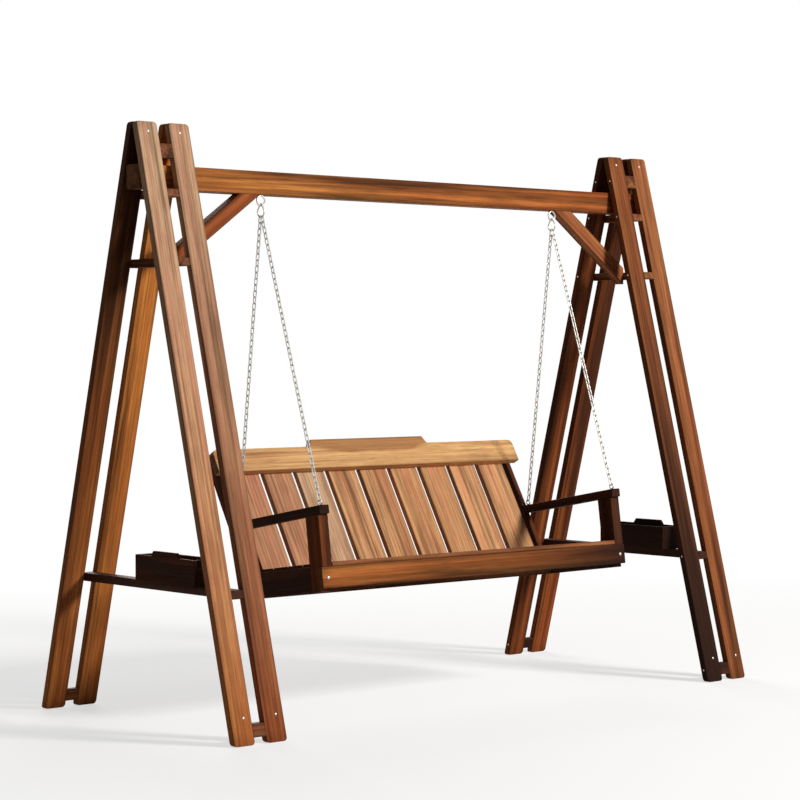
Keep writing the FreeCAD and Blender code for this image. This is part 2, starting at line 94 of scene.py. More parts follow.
# %% Shader expressions
class Tint:
    """An output socket of a shader tree that can stand in an expression."""

    def __init__(self, tree, socket=None):
        self.tree = tree
        self.socket = socket

    def node(self, kind, settings=None, sockets=None, out=0):
        """Adds a node, sets it up, fills or links its sockets and gives one of its outputs."""
        made = self.tree.nodes.new(kind)
        for name, value in (settings or {}).items():
            if name == "stops":
                self.set_stops(made.color_ramp.elements, value)
            else:
                setattr(made, name, value)
        for name, value in (sockets or {}).items():
            if isinstance(value, Tint):
                self.tree.links.new(value.socket, made.inputs[name])
            else:
                made.inputs[name].default_value = value
        return Tint(self.tree, made.outputs[out] if made.outputs else None)

    def set_stops(self, elements, stops):
        """Puts grey stops, as pairs of place and value, on a ramp."""
        while len(elements) < len(stops):
            elements.new(1)
        for element, (place, value) in zip(elements, stops):
            element.position = place
            element.color = (value, value, value, 1)

    def maths(self, operation, first, second=0.0):
        """A Math node of one or two numbers."""
        return self.node("ShaderNodeMath", {"operation": operation}, {0: first, 1: second})

    def __add__(self, other):
        return self.maths("ADD", self, other)

    def __sub__(self, other):
        return self.maths("SUBTRACT", self, other)

    def __rsub__(self, other):
        return self.maths("SUBTRACT", other, self)

    def __mul__(self, other):
        return self.maths("MULTIPLY", self, other)

    def __truediv__(self, other):
        return self.maths("DIVIDE", self, other)

    def __rtruediv__(self, other):
        return self.maths("DIVIDE", other, self)

    def __abs__(self):
        return self.maths("ABSOLUTE", self)

    __radd__ = __add__
    __rmul__ = __mul__

    def ramp(self, *stops):
        """A smooth curve through grey stops."""
        return self.node("ShaderNodeValToRGB", {"stops": stops}, {0: self})

    def part(self, axis):
        """One number of a vector."""
        return self.node("ShaderNodeSeparateXYZ", None, {0: self}, axis)

    def times(self, factors):
        """A vector or colour times three numbers."""
        return self.node("ShaderNodeVectorMath", {"operation": "MULTIPLY"}, {0: self, 1: factors})

    def dimmed(self, amount):
        """A vector or colour times one number."""
        return self.node("ShaderNodeVectorMath", {"operation": "SCALE"}, {0: self, "Scale": amount})

    def between(self, first, second):
        """The colour that lies this far from the first to the second."""
        return self.node("ShaderNodeMix", {"data_type": "RGBA"}, {0: self, 6: first, 7: second}, 2)

    def noise(self, detail=2.0, rough=0.5):
        """Cloudy noise at this vector, from 0 to 1."""
        return self.node("ShaderNodeTexNoise", None,
                         {"Vector": self, "Scale": 1.0, "Detail": detail, "Roughness": rough})


def new_material(name):
    """An empty material and a start for its expressions."""
    material = bpy.data.materials.new(name)
    material.use_nodes = True
    material.node_tree.nodes.clear()
    return material, Tint(material.node_tree)


def screen_colour(red, green, blue):
    """A colour given in screen bytes, as the linear numbers that shaders use."""
    linear = [((c / 255 + 0.055) / 1.055) ** 2.4 for c in (red, green, blue)]
    return (*linear, 1)


print("shader expressions are ready")

# %% [markdown]
# ## Surroundings
# The bench is shown against plain white. A white world would also light it from all sides and wash
# out the shade, so the world is white only to the camera and in the bright metal, and lights the
# wood no more than a dim sky would.

# %% World
sky_light = 0.07
plain_white = (1, 1, 1, 1)


def seen_directly(start):
    """1 where the camera, or a mirror or glass in between, looks at a surface."""
    camera_ray = start.node("ShaderNodeLightPath", out="Is Camera Ray")
    glossy_ray = start.node("ShaderNodeLightPath", out="Is Glossy Ray")
    through_ray = start.node("ShaderNodeLightPath", out="Is Transmission Ray")
    return start.maths("MINIMUM", camera_ray + glossy_ray + through_ray, 1.0)


world = bpy.data.worlds.new("studio")
scene.world = world
world.use_nodes = True
world.node_tree.nodes.clear()
air = Tint(world.node_tree)
strength = sky_light + (1 - sky_light) * seen_directly(air)
backdrop = air.node("ShaderNodeBackground", None, {"Color": plain_white, "Strength": strength})
air.node("ShaderNodeOutputWorld", None, {"Surface": backdrop})
print("sky light", sky_light)

# %% [markdown]
# ## Floor
# The bench stands on a plain pale floor that runs out into white. A curved backdrop would do, but
# a flat disc is simpler: near the bench it is matt and takes the shadow, and further out it fades
# to plain white. It looks pale, but the light that it throws back up at the wood is that of a mid
# grey, so that the shaded sides of the boards stay dark. Each end of the fade is a share of its
# reach in metres, and how white the floor is there.

# %% Floor
floor_radius = 60
floor_corners = 96
floor_drop = 0.001
shown_grey = 0.9
bounce_grey = 0.45
fade_reach = 10
fade_near = (0.17, 0.62)
fade_far = (0.5, 1.0)

floor_mesh = bpy.data.meshes.new("floor")
disc = bmesh.new()
bmesh.ops.create_circle(disc, cap_ends=True, segments=floor_corners, radius=floor_radius)
disc.to_mesh(floor_mesh)
disc.free()
floor = bpy.data.objects.new("floor", floor_mesh)
floor.location.z = -floor_drop
scene.collection.objects.link(floor)

floor_material, start = new_material("pale_floor")
place = start.node("ShaderNodeTexCoord", out="Object")
distance = start.node("ShaderNodeVectorMath", {"operation": "LENGTH"}, {0: place}, "Value")
fade = (distance / fade_reach).ramp(fade_near, fade_far) * seen_directly(start)
shade = bounce_grey + (shown_grey - bounce_grey) * seen_directly(start)
matt = start.node("ShaderNodeBsdfDiffuse", None, {"Color": shade})
glow = start.node("ShaderNodeEmission", None, {"Color": plain_white, "Strength": 1.0})
surface = start.node("ShaderNodeMixShader", None, {0: fade, 1: matt, 2: glow})
start.node("ShaderNodeOutputMaterial", None, {"Surface": surface})
floor_mesh.materials.append(floor_material)
print("floor radius", floor_radius, "m")

# %% [markdown]
# ## Studio light
# In the photograph the light comes from the front, high on the right, so the fronts of the boards
# are bright and the sides that face left are dark. One broad lamp does that softly, a weak one on
# the left keeps the dark sides from closing up, and one behind shows the back from other angles.
# Their power makes a lit colour show about as written.

# %% Lamps
bench_middle = Vector((0, 0, 0.9))


def studio_lamp(name, place, size, power, colour):
    """A square soft lamp that looks at the middle of the bench."""
    data = bpy.data.lights.new(name, "AREA")
    data.shape = "SQUARE"
    data.size = size
    data.energy = power
    data.color = colour
    lamp = bpy.data.objects.new(name, data)
    lamp.location = place
    lamp.rotation_euler = (bench_middle - Vector(place)).to_track_quat("-Z", "Y").to_euler()
    scene.collection.objects.link(lamp)


studio_lamp("key_lamp", (3.4, -6.6, 5.0), size=1.6, power=840, colour=(1.0, 0.97, 0.93))
studio_lamp("fill_lamp", (-6.5, -3.0, 3.5), size=4.0, power=3, colour=(0.95, 0.97, 1.0))
studio_lamp("back_lamp", (3.0, 6.5, 4.0), size=4.0, power=330, colour=(1.0, 0.98, 0.96))

# %% [markdown]
# ## Boards and their directions
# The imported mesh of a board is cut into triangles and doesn't say which way the wood runs. The
# finish needs to know that. We could write a direction for each board by hand, but its longest
# edge and its widest side give it: along, across and through the board.

# %% Board meshes
same_point = 1e-6
flat_angle = 0.01
side_limit = 0.5


def islands(shape):
    """The separate solids of a bmesh as lists of vertices, in the order of the mesh."""
    done = set()
    found = []
    for seed in shape.verts:
        if seed in done:
            continue
        group = {seed}
        to_visit = [seed]
        while to_visit:
            vertex = to_visit.pop()
            for edge in vertex.link_edges:
                other = edge.other_vert(vertex)
                if other not in group:
                    group.add(other)
                    to_visit.append(other)
        done |= group
        found.append(sorted(group, key=lambda vertex: vertex.index))
    return found


def clean_copy(node):
    """A node's mesh with its points joined and its flat faces made whole."""
    shape = bmesh.new()
    shape.from_mesh(frame["nodes"][node].data)
    bmesh.ops.remove_doubles(shape, verts=shape.verts, dist=same_point)
    bmesh.ops.dissolve_limit(shape, angle_limit=flat_angle, verts=shape.verts, edges=shape.edges)
    shape.verts.index_update()
    return shape


def board_axes(solid):
    """Unit vectors along, across and through one board."""
    edges = [edge for vertex in solid for edge in vertex.link_edges]
    longest = max(edges, key=lambda edge: edge.calc_length())
    along = (longest.verts[1].co - longest.verts[0].co).normalized()
    if max(along, key=abs) < 0:
        along = -along
    faces = [face for vertex in solid for face in vertex.link_faces]
    sides = [face for face in faces if abs(face.normal.dot(along)) < side_limit]
    widest = max(sides, key=lambda face: face.calc_area())
    through = (widest.normal - along * widest.normal.dot(along)).normalized()
    if max(through, key=abs) > 0:
        through = -through
    return along, through.cross(along), through


print("board meshes are ready")

# %% [markdown]
# ## What each board knows
# Five facts go with every point of a board: its place in the log that the board was cut from, its
# place between the board's own edges, half the board's size, the board's tone with its scorch, and
# where its dark heartwood starts. On a few boards that tone and scorch also carry painted shade,
# and on two the tone carries a painted sheen. They are stored as mesh attributes, which a shader
# can read at any angle of the board without a texture map.
# Each board draws its own luck from its name, so the same boards come out on every run.

# %% Facts of the boards
tones = {
    "straw": screen_colour(202, 162, 118),
    "fawn": screen_colour(202, 172, 148),
    "tan": screen_colour(195, 152, 115),
    "pink": screen_colour(184, 154, 130),
    "biscuit": screen_colour(182, 139, 103),
    "rose": screen_colour(175, 132, 106),
    "ochre": screen_colour(190, 128, 66),
    "copper": screen_colour(170, 107, 56),
    "tawny": screen_colour(160, 104, 68),
    "brown": screen_colour(148, 96, 64),
    "hazel": screen_colour(130, 79, 46),
    "russet": screen_colour(146, 82, 44),
    "umber": screen_colour(114, 62, 33),
    "char": screen_colour(74, 42, 28),
    "soot": screen_colour(50, 25, 16),
}
log_length = 40
heart_beside = (0.035, 0.09)
heart_behind = (0.02, 0.06)
thinnest_half = 1e-4
depth_weight = 1 / 9
fact_kinds = {1: ("FLOAT", "value"), 3: ("FLOAT_VECTOR", "vector"), 4: ("FLOAT_COLOR", "color")}


def left_to_right(solid):
    """Where a board stands in its row, counted from the left and a little from the front."""
    return sum(vertex.co.x + vertex.co.y * depth_weight for vertex in solid) / len(solid)


def board_facts(node, shape, looks, heart_edge):
    """The five facts of every point of a node's boards, by name."""
    count = len(shape.verts)
    grain = np.zeros((count, 3))
    spot = np.zeros((count, 3))
    half = np.zeros((count, 3))
    tone = np.ones((count, 4))
    for number, solid in enumerate(sorted(islands(shape), key=left_to_right)):
        luck = random.Random(f"{node} {number}")
        rows = [vertex.index for vertex in solid]
        points = np.array([vertex.co for vertex in solid]) @ np.array(board_axes(solid)).T
        low, high = points.min(axis=0), points.max(axis=0)
        size = np.maximum((high - low) / 2, thinnest_half)
        middle = (high + low) / 2
        beside = luck.choice((-1, 1)) * luck.uniform(*heart_beside)
        heart = np.array((luck.uniform(0, log_length), beside, luck.uniform(*heart_behind)))
        grain[rows] = points - middle + heart
        spot[rows] = (points - middle) / size
        half[rows] = size
        # A look's tones and scorch values are the board's own colour, and on a few boards partly
        # painted shade.
        low_tone, low_scorch_and_shade, high_tone, high_scorch_and_shade = looks[number % len(looks)]
        share = (spot[rows, :1] + 1) / 2
        first = np.array((*tones[low_tone][:3], low_scorch_and_shade))
        second = np.array((*tones[high_tone][:3], high_scorch_and_shade))
        tone[rows] = first * (1 - share) + second * share
    return {"grain": grain, "spot": spot, "half": half, "tone": tone,
            "heart_edge": np.full((count, 1), heart_edge)}


def store_facts(mesh, facts):
    """Puts facts on a mesh as attributes of its points."""
    for name, values in facts.items():
        kind, field = fact_kinds[values.shape[1]]
        layer = mesh.attributes.new(name, kind, "POINT")
        layer.data.foreach_set(field, values.astype(np.float32).ravel())


print("tones", ", ".join(tones))

# %% [markdown]
# ## Rounded arrises
# The boards were planed, sanded and then scorched, so their edges are a little round. A Bevel
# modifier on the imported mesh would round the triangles' edges too, so each wooden node is copied,
# its flat faces are joined up again, and its sharp edges are bevelled before it gets its facts.

# %% Dressing a node as boards
arris = 0.0012
arris_angle = math.radians(20)
no_heartwood = 1.0
dressed = []


def dress(node, body, finish, looks, heart_edge=no_heartwood):
    """Replaces a wooden node by the same boards with rounded edges and grain.

    A look is a tone and a scorch at the board's low or left end, and the same at its other end;
    on some boards they also carry painted shade, on two a painted sheen.
    """
    shape = clean_copy(node)
    sharp = [edge for edge in shape.edges if edge.calc_face_angle(0) > arris_angle]
    bmesh.ops.bevel(shape, geom=sharp, offset=arris, segments=2, profile=0.5,
                    affect="EDGES", clamp_overlap=True)
    bmesh.ops.recalc_face_normals(shape, faces=shape.faces)
    shape.verts.index_update()
    facts = board_facts(node, shape, looks, heart_edge)
    mesh = bpy.data.meshes.new(node + "_board")
    shape.to_mesh(mesh)
    shape.free()
    store_facts(mesh, facts)
    mesh.shade_smooth()
    mesh.materials.append(finish)
    piece = bpy.data.objects.new(node + "_board", mesh)
    scene.collection.objects.link(piece)
    even = piece.modifiers.new("flat_faces", "WEIGHTED_NORMAL")
    even.mode = "FACE_AREA"
    even.weight = 100
    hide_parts(node)
    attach(piece, body)
    dressed.append(piece)


print("arris", arris * 1000, "mm")

# %% [markdown]
# ## Growth rings and grain
# Scorching burns the soft early wood away and leaves the rings as dark lines, so the grain stands
# out more than on plain pine. A stretched noise alone looks like brushed paint. Here the rings are
# real circles round a heart line beside each board, so that its broad face shows arches and its
# edge shows lines, and noise only makes them waver. Finer marks are noise, stretched along the
# board: each has so many turns in a metre along and across it, a detail, a roughness, and the
# values at which it sets in and is full.

# %% Rings and marks
board_waver = 0.03
face_ripple = 0.004
ring_waver = 0.016
ring_shades = ((0.0, 0.3), (0.14, 0.0), (0.5, 0.12), (0.85, 1.0), (1.0, 0.3))
grain_marks = {
    "bands": (0.5, 42, 3.0, 0.6, 0.4, 0.6),
    "streaks": (1.4, 130, 2.0, 0.6, 0.46, 0.62),
    "fibres": (9, 620, 2.0, 0.5, 0.35, 0.7),
    "flecks": (11, 240, 2.0, 0.6, 0.5, 0.68),
    "blush": (1.2, 26, 2.0, 0.5, 0.4, 0.62),
    "clouds": (6, 26, 3.0, 0.65, 0.46, 0.66),
}


def fact(start, name, out="Vector"):
    """A stored fact of the board at this point."""
    return start.node("ShaderNodeAttribute", {"attribute_name": name}, out=out)


def grain_mark(grain, name):
    """One kind of long mark, from 0 to 1, at this place in the log."""
    along, across, detail, rough, sets_in, full = grain_marks[name]
    stretched = grain.times((along, across, across)).noise(detail, rough)
    return stretched.ramp((sets_in, 0.0), (full, 1.0))


def growth_rings(start, grain, waver, ripple, ring_width):
    """The dark late wood, from 0 to 1, of the rings round the heart of the log."""
    across = grain.part(1) + waver * board_waver
    through = grain.part(2) + ripple * face_ripple
    radius = start.maths("SQRT", across * across + through * through) + waver * ring_waver
    return start.maths("FRACT", radius / ring_width).ramp(*ring_shades)


print("marks of the grain", ", ".join(grain_marks))

# %% [markdown]
# ## Dark edges and heartwood
# The flame catches edges first, so the arrises and ends of the boards are darker, and a sawn end is
# darker still because it soaks up the oil. One board shows the dark heart of the log along its
# upper part. A painted mask would have to be redone for each board. These masks are measured from
# the board's own edges and middle, so they fit every board.

# %% Edges and heartwood
rim_reach = 0.012
end_reach = 0.05
cut_depth = 0.0009
heart_bow = 0.3
heart_waver = 0.06
heart_ripple = 0.05
heart_blur = 0.02


def edge_masks(start, spot, half, waver):
    """The dark arrises, the dark ends and the sawn end grain of a board."""
    end_gap, side_gap, face_gap = [(1 - abs(spot.part(n))) * half.part(n) for n in range(3)]
    rim = start.maths("MAXIMUM", side_gap, face_gap)
    rim_dark = (rim / rim_reach + waver).ramp((0.0, 1.0), (0.55, 0.0))
    end_dark = (end_gap / end_reach + waver).ramp((0.0, 1.0), (0.9, 0.0))
    cut_end = (end_gap / cut_depth).ramp((0.5, 1.0), (1.0, 0.0))
    return rim_dark, end_dark, cut_end


def heart_mask(start, spot, half, waver, ripple):
    """The heartwood beyond a bowed line along the board."""
    along = spot.part(0) * half.part(0)
    edge = fact(start, "heart_edge", "Fac") + along * along * heart_bow
    edge = edge + waver * heart_waver + ripple * heart_ripple
    return ((spot.part(1) * half.part(1) - edge) / heart_blur + 0.5).ramp((0.2, 0.0), (0.8, 1.0))


print("dark rim reaches", rim_reach * 1000, "mm, dark end", end_reach * 1000, "mm")

# %% [markdown]
# ## Scorched softwood
# The finish lays the masks over the board's tone, from the pale wood to the char. It could be one
# brown with noise on it, but real scorched pine changes hue as well: yellow where it is pale, red
# where the flame has passed, nearly black where it stayed. So each mask leads to its own share of
# red, green and blue. The same masks drive roughness and relief, because burnt wood is also duller
# and lower.

# %% Wood finish
slow_noise = (0.9, 9, 9)
quick_noise = (5, 34, 34)
patch_noise = (0.9, 24, 24)
scorch_push = 0.6
burn_level = 0.42
pale_wood = (1.38, 1.36, 1.18)
reddened_wood = (1.26, 1.0, 0.92)
clouded_wood = (0.86, 0.7, 0.66)
heartwood = (0.62, 0.46, 0.36)
late_wood = (0.44, 0.32, 0.22)
marked_wood = (0.4, 0.3, 0.21)
char_black = (0.016, 0.007, 0.004, 1)
relief_depth = 0.0007
relief_strength = 0.35
oil_shine = 0.05


def scorched_wood(name, ring_width, ring_depth, burn, roughness):
    """A scorched and oiled softwood, told apart by its rings, how much of it is charred, and its
    gloss.
    """
    material, start = new_material(name)
    grain = fact(start, "grain")
    spot = fact(start, "spot")
    half = fact(start, "half")
    tone = fact(start, "tone", "Color")
    scorch_and_shade = fact(start, "tone", "Alpha")

    waver = grain.times(slow_noise).noise() - 0.5
    ripple = grain.times(quick_noise).noise() - 0.5
    late = growth_rings(start, grain, waver, ripple, ring_width)
    marks = [grain_mark(grain, kind) for kind in grain_marks]
    bands, streaks, fibres, flecks, blush, clouds = marks
    patches = grain.times(patch_noise).noise(3.0, 0.6)
    # Char patches grow with the board's scorch value, which on a few boards is partly painted
    # shade, so there these patches are partly painted shade too.
    burnt_and_shaded = (patches + scorch_and_shade * scorch_push - burn_level).ramp((0.12, 0.0), (0.36, 1.0))
    rim_dark, end_dark, cut_end = edge_masks(start, spot, half, waver)
    heart = heart_mask(start, spot, half, waver, ripple)

    wood = (blush * 0.9).between(tone.times(pale_wood), tone.times(reddened_wood))
    wood = (clouds * 0.5).between(wood, tone.times(clouded_wood))
    wood = (heart * 0.85).between(wood, tone.times(heartwood))
    wood = (late * ring_depth * (0.4 + bands * 0.6)).between(wood, tone.times(late_wood))
    marked = bands * 0.26 + streaks * 0.3 + flecks * 0.28
    wood = marked.between(wood, tone.times(marked_wood))
    wood = wood.dimmed(1.1 - fibres * 0.2)
    wood = (burnt_and_shaded * burn).between(wood, char_black)
    wood = (rim_dark * 0.45).between(wood, char_black)
    wood = (end_dark * 0.25 + cut_end * 0.45).between(wood, char_black)

    relief = 1 - late * 0.45 - fibres * 0.35 - burnt_and_shaded * 0.2
    bump = start.node("ShaderNodeBump", None, {"Strength": relief_strength,
                                               "Distance": relief_depth, "Height": relief})
    rough = roughness + fibres * 0.12 - late * 0.1 + burnt_and_shaded * 0.12
    shader = start.node("ShaderNodeBsdfPrincipled", None,
                        {"Base Color": wood, "Roughness": rough, "Normal": bump,
                         "Specular IOR Level": oil_shine})
    start.node("ShaderNodeOutputMaterial", None, {"Surface": shader})
    return material


leg_wood = scorched_wood("leg_wood", ring_width=0.0125, ring_depth=0.55,
                         burn=0.8, roughness=0.58)
beam_wood = scorched_wood("beam_wood", ring_width=0.015, ring_depth=0.9,
                          burn=0.8, roughness=0.52)
seat_wood = scorched_wood("seat_wood", ring_width=0.0125, ring_depth=0.45,
                          burn=0.8, roughness=0.56)
crest_wood = scorched_wood("crest_wood", ring_width=0.0125, ring_depth=0.4,
                           burn=0.5, roughness=0.56)
box_wood = scorched_wood("box_wood", ring_width=0.01, ring_depth=0.8,
                         burn=0.9, roughness=0.6)
print("wood finishes", [m.name for m in (leg_wood, beam_wood, seat_wood, crest_wood, box_wood)])

# %% [markdown]
# ## Which board of the stand has which tone
# The boards were scorched one by one, and neighbours differ in tone: the left front legs are pale,
# the left rear ones and the beam golden, the right frame is darker, and the side boxes are nearly
# black. Part of this is painted light: the pale upper ends of the left front legs are a painted
# sheen, the dark top of the left outer rear leg is a painted shadow, and the right box is darker by
# painted shade. One tone for each kind of board would be shorter. A list by name keeps the
# differences, and it is easy to change.

# %% Dress the stand
leg_looks = {
    # The pale fawn and pink upper ends of the two left front legs are a painted sheen, the pale
    # reflection of the sky on their upper parts.
    "left_outer_front_leg": ("copper", 0.05, "fawn", 0.0),
    "left_inner_front_leg": ("russet", 0.15, "pink", 0.0),
    # The dark char top of the left outer rear leg is a painted shadow, the shade that falls on it
    # from the collar up.
    "left_outer_rear_leg": ("copper", 0.08, "char", 0.3),
    "left_inner_rear_leg": ("copper", 0.12, "ochre", 0.0),
    "right_outer_front_leg": ("hazel", 0.3, "tawny", 0.12),
    "right_inner_front_leg": ("soot", 0.5, "hazel", 0.1),
    "right_outer_rear_leg": ("russet", 0.3, "umber", 0.3),
    "right_inner_rear_leg": ("russet", 0.3, "umber", 0.3),
}
for node, look in leg_looks.items():
    dress(node, "stand", leg_wood, [look])


def even_look(tone_name, scorch_and_shade):
    """A look that is the same from end to end."""
    return tone_name, scorch_and_shade, tone_name, scorch_and_shade


tie_look = even_look("brown", 0.25)
shelf_look = even_look("char", 0.2)
brace_looks = {"left": even_look("russet", 0.2), "right": even_look("tawny", 0.15)}
# The right box's soot tone is painted shade, which makes it darker than the left one.
box_looks = {"left": even_look("umber", 0.45), "right": even_look("soot", 0.5)}
foot_looks = {"left": even_look("brown", 0.25), "right": even_look("char", 0.3)}
for side in ("left", "right"):
    between_legs = {"cap_block": tie_look, "beam_tie": tie_look, "collar_tie": tie_look,
                    "shelf_tie": shelf_look, "foot_spacers": foot_looks[side],
                    "knee_brace": brace_looks[side]}
    for name, look in between_legs.items():
        dress(f"{side}_{name}", "stand", beam_wood, [look])
    for name in ("box_outer_side", "box_inner_side", "box_bottom", "box_ends"):
        dress(f"{side}_{name}", "stand", box_wood, [box_looks[side]])
dress("beam", "stand", beam_wood, [("ochre", 0.18, "russet", 0.2)])
print("dressed", len(dressed), "pieces of the stand")

# %% [markdown]
# ## Which board of the bench has which tone
# The back is pale and its slats are nearly alike, the front rail is copper that darkens to the
# right, and the arms and side rails are nearly black, partly by painted shade. The slats are one
# node, so their looks are a row from left to right. The crest is cut so that its raised middle
# shows heartwood.

# %% Dress the bench
# The near black of the arms and side rails is partly their own scorch and partly painted shade, the
# shade on their sides that face away from the light; on the right side rail it is a painted shadow.
black_look = even_look("char", 0.4)
stile_look = even_look("umber", 0.4)
hidden_look = even_look("brown", 0.25)
post_looks = {"left": even_look("umber", 0.15), "right": even_look("char", 0.3)}
board_tones = ("brown", "rose", "tan", "brown", "rose")
board_scorch = 0.15
slat_tones = ("rose", "rose", "pink", "tan", "biscuit", "biscuit", "biscuit", "tan", "tan")
slat_scorch = 0.06
crest_heart_edge = 0.0
bench_looks = {
    "seat_front_rail": [("copper", 0.12, "soot", 0.3)],
    "seat_rear_rail": [hidden_look],
    "seat_joists": [hidden_look],
    "back_lower_rail": [hidden_look],
    "back_slats": [even_look(name, slat_scorch) for name in slat_tones],
}
for side in ("left", "right"):
    bench_looks[f"{side}_side_rail"] = [black_look]
    bench_looks[f"{side}_front_post"] = [post_looks[side]]
    bench_looks[f"{side}_arm"] = [black_look]
    bench_looks[f"{side}_back_stile"] = [stile_look]
for number, tone_name in enumerate(board_tones, 1):
    bench_looks[f"seat_board_{number}"] = [even_look(tone_name, board_scorch)]
for node, looks in bench_looks.items():
    dress(node, "swing", seat_wood, looks)
dress("crest_rail", "swing", crest_wood, [even_look("straw", 0.0)], crest_heart_edge)
print("dressed", len(dressed), "wooden pieces in all")

# %% [markdown]
# ## Bright zinc
# The chains, rings, eyes and screws are bright zinc plate. A plain grey metal looks like plastic
# in soft light, so the plate has faint cloudy patches that are a little darker and duller.

# %% Zinc finish
cloud_density = (160, 160, 160)
dull_zinc = (0.36, 0.34, 0.32, 1)
bright_zinc = (0.6, 0.58, 0.55, 1)


def zinc_plate():
    """Electroplated steel with faint clouds."""
    material, start = new_material("zinc_steel")
    clouds = start.node("ShaderNodeTexCoord", out="Object").times(cloud_density).noise(3.0, 0.6)
    colour = clouds.ramp((0.3, 0.0), (0.7, 1.0)).between(dull_zinc, bright_zinc)
    shader = start.node("ShaderNodeBsdfPrincipled", None,
                        {"Base Color": colour, "Metallic": 1.0, "Roughness": 0.3 + clouds * 0.2})
    start.node("ShaderNodeOutputMaterial", None, {"Surface": shader})
    return material


zinc_steel = zinc_plate()
print("metal finish", zinc_steel.name)

# %% [markdown]
# ## Bent wire
# Links, rings and eyes are all round wire bent to a closed line. A curve with a bevel would do for
# one of them, but two hundred links are lighter as plain meshes. This helper carries a circle
# round a flat closed line, and a small builder collects several shapes in one mesh. Shanks, nuts
# and screw heads are turned from a profile by the same builder.

# %% Wire and solids of revolution
class Forge:
    """Collects points and faces of metal pieces and makes them one object."""

    def __init__(self):
        self.points = []
        self.faces = []

    def closed_wire(self, line, normal, radius, sides):
        """Round wire along a flat closed line with the given normal."""
        first = len(self.points)
        count = len(line)
        for index, here in enumerate(line):
            way = (line[(index + 1) % count] - line[index - 1]).normalized()
            out = way.cross(normal)
            for step in range(sides):
                angle = 2 * math.pi * step / sides
                spoke = out * math.cos(angle) + normal * math.sin(angle)
                self.points.append(here + spoke * radius)
        for index in range(count):
            here = first + index * sides
            ahead = first + (index + 1) % count * sides
            for step in range(sides):
                after = (step + 1) % sides
                self.faces.append([here + step, ahead + step, ahead + after, here + after])

    def turned(self, profile, foot, axis, sides, corner_scale=None):
        """A solid turned from pairs of radius and height round an axis, closed at both ends."""
        axis = axis.normalized()
        out = axis.orthogonal().normalized()
        beside = axis.cross(out)
        first = len(self.points)
        for radius, height in profile:
            for step in range(sides):
                angle = 2 * math.pi * step / sides
                scale = corner_scale(step) if corner_scale else 1
                spoke = out * math.cos(angle) + beside * math.sin(angle)
                self.points.append(foot + axis * height + spoke * (radius * scale))
        for row in range(len(profile) - 1):
            low = first + row * sides
            high = low + sides
            for step in range(sides):
                after = (step + 1) % sides
                self.faces.append([low + step, low + after, high + after, high + step])
        last = first + (len(profile) - 1) * sides
        self.faces.append([first + step for step in reversed(range(sides))])
        self.faces.append([last + step for step in range(sides)])

    def piece(self, name, body, nodes=(), smooth_angle=40):
        """Makes one object of all that was collected, in zinc, on its body."""
        mesh = bpy.data.meshes.new(name)
        mesh.from_pydata([tuple(p) for p in self.points], [], self.faces)
        mesh.validate()
        mesh.shade_smooth()
        mesh.set_sharp_from_angle(angle=math.radians(smooth_angle))
        mesh.materials.append(zinc_steel)
        made = bpy.data.objects.new(name, mesh)
        scene.collection.objects.link(made)
        if nodes:
            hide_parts(*nodes)
        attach(made, body)


def arc(centre, along, beside, radius, start_angle, end_angle, steps):
    """Points on an arc from one angle to another, both ends included."""
    line = []
    for step in range(steps + 1):
        angle = start_angle + (end_angle - start_angle) * step / steps
        line.append(centre + (along * math.cos(angle) + beside * math.sin(angle)) * radius)
    return line


print("wire and turned solids are ready")

# %% [markdown]
# ## Chains
# Each chain is about fifty short welded links, each turned a quarter on the one before. An array
# along a curve would work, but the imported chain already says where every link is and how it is
# turned, so a round-ended link is laid exactly over each of its angular ones.

# %% Chains
link_wire = 0.0042
link_inside = 0.007
link_play = 0.0004
link_steps = 8
link_sides = 8
link_bend = link_inside / 2 + link_wire / 2


def link_frames(node):
    """Middle, long direction and flat direction of every link of a packed chain."""
    shape = clean_copy(node)
    found = []
    for solid in islands(shape):
        points = np.array([vertex.co for vertex in solid])
        middle = points.mean(axis=0)
        axes = np.linalg.svd(points - middle)[2]
        found.append((Vector(middle), Vector(axes[0]), Vector(axes[2])))
    shape.free()
    return sorted(found, key=lambda link: -link[0].z)


def link_line(middle, along, flat, straight):
    """The closed line of a link's wire: two half circles, and the straights between them."""
    beside = flat.cross(along)
    reach = along * straight
    line = arc(middle + reach, along, beside, link_bend, -quarter, quarter, link_steps)
    return line + arc(middle - reach, along, beside, link_bend, quarter, 3 * quarter, link_steps)


for side in ("left", "right"):
    for chain in ("front", "rear"):
        node = f"{side}_{chain}_chain"
        links = link_frames(node)
        pitch = (links[0][0] - links[-1][0]).length / (len(links) - 1)
        straight = (pitch + link_play + link_wire) / 2 - link_bend
        forge = Forge()
        for middle, along, flat in links:
            line = link_line(middle, along, flat, straight)
            forge.closed_wire(line, flat, link_wire / 2, link_sides)
        forge.piece(node + "_links", "swing", [node])
        print(node, len(links), "links, pitch", round(pitch * 1000, 2), "mm")

# %% [markdown]
# ## Swivel rings and beam eyes
# The bench swings where a pear-shaped ring hangs in an eye bolt under the beam. The joint of the
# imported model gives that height. The eye is a ring of thick wire on a shank that goes up through
# the beam, with a thread at its end for the nut that is sunk in the beam's top. A helix would be
# truer for the thread, but rows of ridges look the same at this size.

